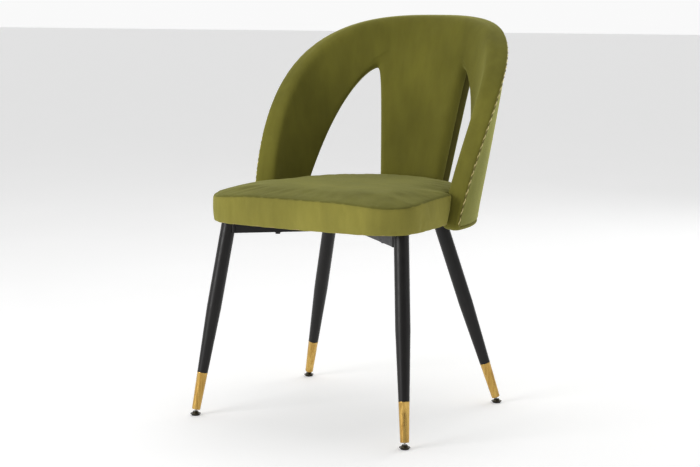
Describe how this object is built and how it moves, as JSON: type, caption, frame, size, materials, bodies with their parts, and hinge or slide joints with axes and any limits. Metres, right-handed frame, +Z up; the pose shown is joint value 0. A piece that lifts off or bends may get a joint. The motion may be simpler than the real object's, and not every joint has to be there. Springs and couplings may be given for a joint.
{
  "type": "dining chair",
  "caption": "Upholstered dining chair: flared wrap-around back with tapering windows and a central splat, boxed seat, cross-rail steel frame, splayed sleeved legs on swivel levelling feet.",
  "frame": {"origin": "middle of the chair's footprint box, on the floor", "axes": "+Z up, +X to the right seen from the front, -Y the front of the seat"},
  "size_m": [0.5444, 0.6104, 0.824],
  "materials": {
    "velvet": "matte",
    "foam": "matte",
    "plywood": "matte",
    "black_steel": "satin",
    "gold_sleeve": "satin",
    "zinc_steel": "satin",
    "foot_steel": "satin",
    "rubber": "matte",
    "dust_cloth": "matte",
    "gold_cord": "satin"
  },
  "bodies": {
    "frame": {"back_board": "plywood", "back_foam_front": "foam", "back_foam_rear": "foam", "back_cover_front": "velvet", "back_cover_rear": "velvet", "window_lining_left": "velvet", "window_lining_right": "velvet", "back_cord": "gold_cord", "back_bolts": "zinc_steel", "back_spacers": "zinc_steel", "back_inserts": "gold_sleeve", "seat_board": "plywood", "seat_foam": "foam", "seat_cover_top": "velvet", "seat_band": "velvet", "seat_dust_cover": "dust_cloth", "seat_t_nuts": "zinc_steel", "seat_bolts": "black_steel", "seat_washers": "black_steel", "long_rail": "black_steel", "short_rail_front": "black_steel", "short_rail_rear": "black_steel", "weld_beads": "black_steel", "leg_caps": "black_steel", "leg_front_left": "black_steel", "sleeve_front_left": "gold_sleeve", "leg_nut_front_left": "zinc_steel", "leg_front_right": "black_steel", "sleeve_front_right": "gold_sleeve", "leg_nut_front_right": "zinc_steel", "leg_rear_left": "black_steel", "sleeve_rear_left": "gold_sleeve", "leg_nut_rear_left": "zinc_steel", "leg_rear_right": "black_steel", "sleeve_rear_right": "gold_sleeve", "leg_nut_rear_right": "zinc_steel"},
    "screw_front_left": {"screw_front_left": "zinc_steel"},
    "foot_front_left": {"foot_cup_front_left": "foot_steel", "foot_pad_front_left": "rubber"},
    "screw_front_right": {"screw_front_right": "zinc_steel"},
    "foot_front_right": {"foot_cup_front_right": "foot_steel", "foot_pad_front_right": "rubber"},
    "screw_rear_left": {"screw_rear_left": "zinc_steel"},
    "foot_rear_left": {"foot_cup_rear_left": "foot_steel", "foot_pad_rear_left": "rubber"},
    "screw_rear_right": {"screw_rear_right": "zinc_steel"},
    "foot_rear_right": {"foot_cup_rear_right": "foot_steel", "foot_pad_rear_right": "rubber"}
  },
  "joints": [
    {"name": "level_front_left", "type": "slide", "parent": "frame", "child": "screw_front_left", "axis": [-0.1124, -0.1576, -0.9811], "range_m": [0, 0.008]},
    {"name": "swivel_front_left", "type": "hinge", "parent": "screw_front_left", "child": "foot_front_left", "pos_m": [-0.25, -0.29422, 0.00735], "axis": [-0.8142, 0.5806, 0], "range_deg": [-10, 10]},
    {"name": "level_front_right", "type": "slide", "parent": "frame", "child": "screw_front_right", "axis": [0.1124, -0.1576, -0.9811], "range_m": [0, 0.008]},
    {"name": "swivel_front_right", "type": "hinge", "parent": "screw_front_right", "child": "foot_front_right", "pos_m": [0.25, -0.29422, 0.00735], "axis": [-0.8142, -0.5806, 0], "range_deg": [-10, 10]},
    {"name": "level_rear_left", "type": "slide", "parent": "frame", "child": "screw_rear_left", "axis": [-0.2585, 0.1697, -0.951], "range_m": [0, 0.008]},
    {"name": "swivel_rear_left", "type": "hinge", "parent": "screw_rear_left", "child": "foot_rear_left", "pos_m": [-0.24, 0.12878, 0.00735], "axis": [0.5488, 0.8359, 0], "range_deg": [-10, 10]},
    {"name": "level_rear_right", "type": "slide", "parent": "frame", "child": "screw_rear_right", "axis": [0.2585, 0.1697, -0.951], "range_m": [0, 0.008]},
    {"name": "swivel_rear_right", "type": "hinge", "parent": "screw_rear_right", "child": "foot_rear_right", "pos_m": [0.24, 0.12878, 0.00735], "axis": [0.5488, -0.8359, 0], "range_deg": [-10, 10]}
  ]
}
